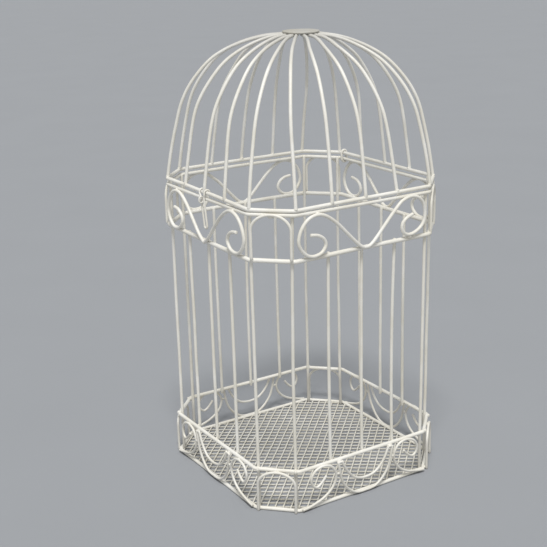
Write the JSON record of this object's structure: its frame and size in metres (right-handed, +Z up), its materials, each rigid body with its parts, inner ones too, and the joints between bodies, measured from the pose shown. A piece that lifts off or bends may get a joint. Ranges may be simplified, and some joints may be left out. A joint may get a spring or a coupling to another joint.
{
  "type": "wire birdcage wedding card box",
  "caption": "Ivory wire birdcage with cut corners, scroll bands, woven mesh floor and a hinged dome lid held by a wire hasp, used to collect cards.",
  "frame": {"origin": "on the cage's vertical axis, at the floor panel's underside, which is where it stands", "axes": "+Z up, +X towards the hinge side, -X towards the hasp side, Y along the hinge line"},
  "size_m": [0.2183, 0.215, 0.421],
  "materials": {
    "ring_wire": "ivory powder coat on steel wire, satin",
    "upright_wire": "ivory powder coat on steel wire, satin",
    "dome_wire": "ivory powder coat on steel wire, satin",
    "scroll_wire": "ivory powder coat on steel wire, satin",
    "arch_wire": "ivory powder coat on steel wire, satin",
    "hub_plate": "ivory powder coat, satin",
    "floor_mesh": "ivory powder coat on crimped woven wire, slightly greyed",
    "latch_wire": "ivory powder coat on steel wire, satin"
  },
  "bodies": {
    "cage": {"band_lower_ring": "ring_wire", "bar_back_left_a": "upright_wire", "bar_back_left_b": "upright_wire", "bar_back_left_c": "upright_wire", "bar_back_right_a": "upright_wire", "bar_back_right_b": "upright_wire", "bar_back_right_c": "upright_wire", "bar_front_left_a": "upright_wire", "bar_front_left_b": "upright_wire", "bar_front_left_c": "upright_wire", "bar_front_right_a": "upright_wire", "bar_front_right_b": "upright_wire", "bar_front_right_c": "upright_wire", "base_bottom_ring": "ring_wire", "base_upper_ring": "ring_wire", "body_top_ring": "ring_wire", "floor_mesh_panel": "floor_mesh", "hasp_keeper": "latch_wire", "lower_arch_back": "arch_wire", "lower_arch_front": "arch_wire", "lower_arch_left": "arch_wire", "lower_arch_right": "arch_wire", "lower_ornament_back_left": "scroll_wire", "lower_ornament_back_right": "scroll_wire", "lower_ornament_front_left": "scroll_wire", "lower_ornament_front_right": "scroll_wire", "post_back_a": "upright_wire", "post_back_b": "upright_wire", "post_front_a": "upright_wire", "post_front_b": "upright_wire", "post_left_a": "upright_wire", "post_left_b": "upright_wire", "post_right_a": "upright_wire", "post_right_b": "upright_wire", "upper_arch_back": "arch_wire", "upper_arch_front": "arch_wire", "upper_arch_left": "arch_wire", "upper_arch_right": "arch_wire", "upper_scroll_back_left": "scroll_wire", "upper_scroll_back_right": "scroll_wire", "upper_scroll_front_left": "scroll_wire", "upper_scroll_front_right": "scroll_wire"},
    "lid": {"dome_rib_pair_01": "dome_wire", "dome_rib_pair_02": "dome_wire", "dome_rib_pair_03": "dome_wire", "dome_rib_pair_04": "dome_wire", "dome_rib_pair_05": "dome_wire", "dome_rib_pair_06": "dome_wire", "dome_rib_pair_07": "dome_wire", "dome_rib_pair_08": "dome_wire", "dome_rib_pair_09": "dome_wire", "dome_rib_pair_10": "dome_wire", "hinge_link_a": "latch_wire", "hinge_link_b": "latch_wire", "hub": "hub_plate", "lid_ring": "ring_wire"},
    "hasp": {"hasp": "latch_wire"}
  },
  "joints": [
    {"name": "lid_hinge", "type": "hinge", "parent": "cage", "child": "lid", "pos_m": [0.1016, 0, 0.2778], "axis": [0, 1, 0], "range_deg": [0, 82]},
    {"name": "hasp_swing", "type": "hinge", "parent": "lid", "child": "hasp", "pos_m": [-0.1016, 0.0008, 0.28359], "axis": [0, 1, 0], "range_deg": [0, 120]}
  ]
}
